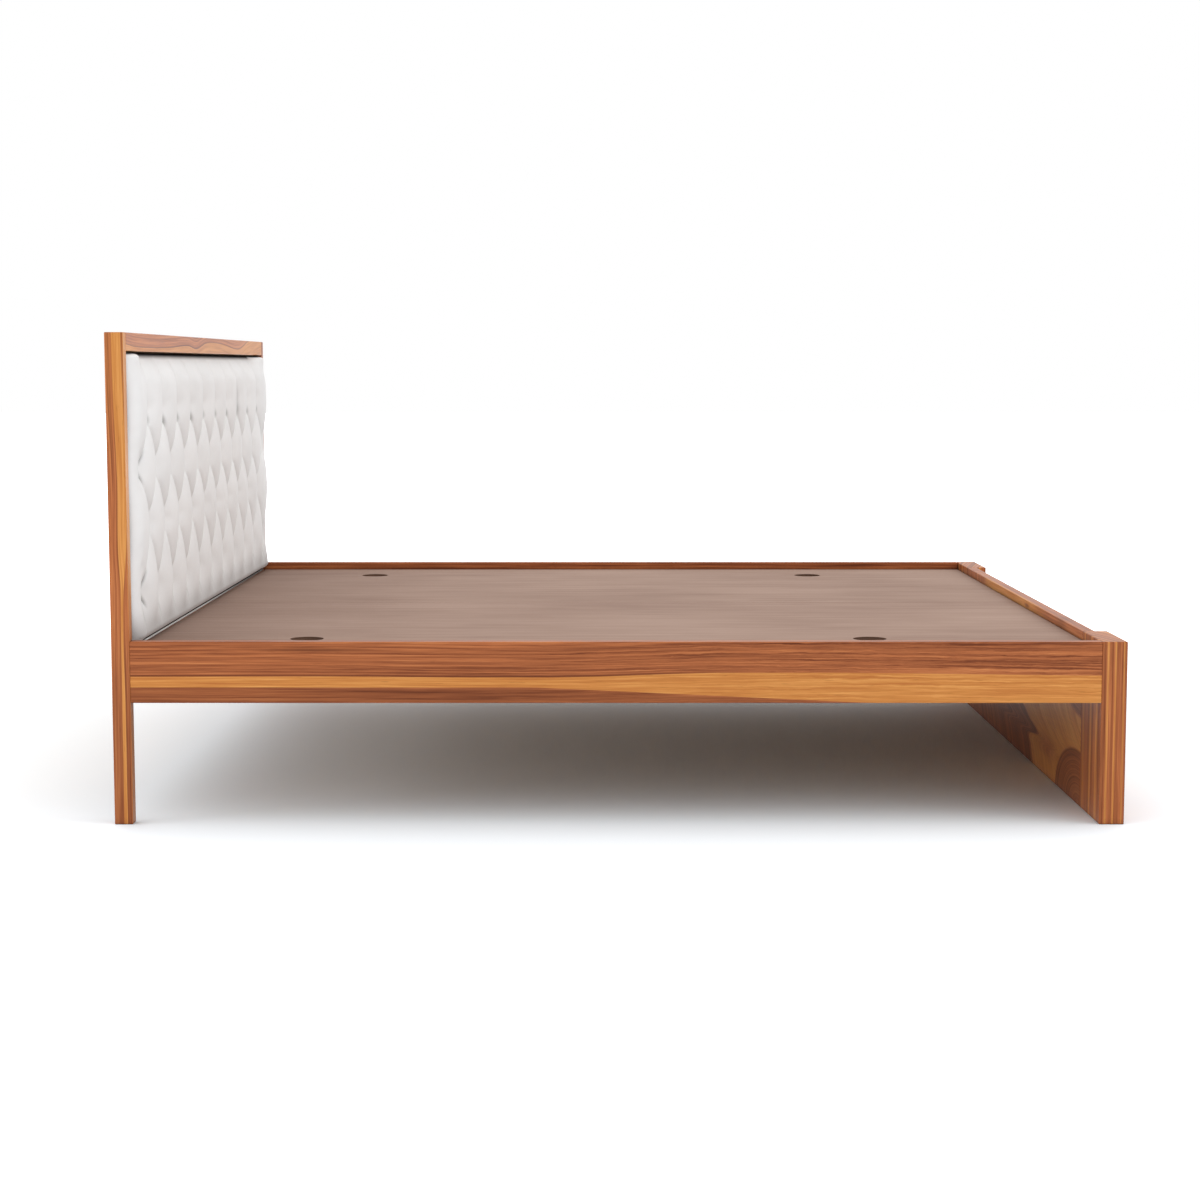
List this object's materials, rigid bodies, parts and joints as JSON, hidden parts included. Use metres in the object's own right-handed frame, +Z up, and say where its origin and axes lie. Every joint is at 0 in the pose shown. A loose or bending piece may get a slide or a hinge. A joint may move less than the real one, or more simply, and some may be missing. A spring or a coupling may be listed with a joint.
{
  "type": "upholstered bed",
  "caption": "King-size platform bed: slim hardwood frame, diamond-tufted padded headboard, plank footboard and a loose plywood deck with finger holes.",
  "frame": {"origin": "centre of the bed's footprint, on the floor", "axes": "+X toward the foot of the bed, +Y across it, +Z up"},
  "size_m": [2.09, 1.905, 1.013],
  "materials": {
    "hardwood": "satin lacquer over striped red-brown and golden rosewood",
    "plywood": "bare plywood",
    "deck_board": "matt brown plywood",
    "plain_timber": "planed softwood",
    "dowel_wood": "beech dowel",
    "cover_cloth": "white upholstery cloth",
    "foam": "polyurethane foam",
    "twine": "waxed twine",
    "screw_steel": "zinc plated",
    "bracket_steel": "zinc plated sheet",
    "cap_plastic": "brown push-in cover"
  },
  "bodies": {
    "frame": {"headboard_post_near": "hardwood", "headboard_post_far": "hardwood", "headboard_top_rail": "hardwood", "headboard_bottom_rail": "hardwood", "headboard_back_panel": "plywood", "upholstery_board": "plywood", "foam_pad": "foam", "tufted_cover": "cover_cloth", "cover_welt": "cover_cloth", "tuft_ties": "twine", "upholstery_screws": "screw_steel", "frame_dowels": "dowel_wood", "side_rail_near": "hardwood", "side_rail_far": "hardwood", "rail_cleat_near": "plain_timber", "rail_cleat_far": "plain_timber", "cleat_screws": "screw_steel", "center_beam": "plain_timber", "beam_hanger_head": "bracket_steel", "beam_hanger_foot": "bracket_steel", "hanger_screws": "screw_steel", "batten_1": "plain_timber", "batten_2": "plain_timber", "batten_3": "plain_timber", "batten_4": "plain_timber", "batten_5": "plain_timber", "batten_6": "plain_timber", "batten_7": "plain_timber", "batten_8": "plain_timber", "batten_9": "plain_timber", "batten_10": "plain_timber", "batten_screws": "screw_steel", "footboard_leg_near": "hardwood", "footboard_leg_far": "hardwood", "footboard_panel": "hardwood", "panel_dowels": "dowel_wood", "bed_bolts": "screw_steel", "bolt_washers": "screw_steel", "barrel_nuts": "screw_steel", "bolt_caps": "cap_plastic", "rail_dowels": "dowel_wood"},
    "deck_near": {"deck_panel_near": "deck_board"},
    "deck_far": {"deck_panel_far": "deck_board"}
  },
  "joints": [
    {"name": "deck_near_lift", "type": "hinge", "parent": "frame", "child": "deck_near", "pos_m": [-1.005, -0.46075, 0.3615], "axis": [0, -1, 0], "range_deg": [0, 45]},
    {"name": "deck_far_lift", "type": "hinge", "parent": "frame", "child": "deck_far", "pos_m": [-1.005, 0.46075, 0.3615], "axis": [0, -1, 0], "range_deg": [0, 45]}
  ]
}
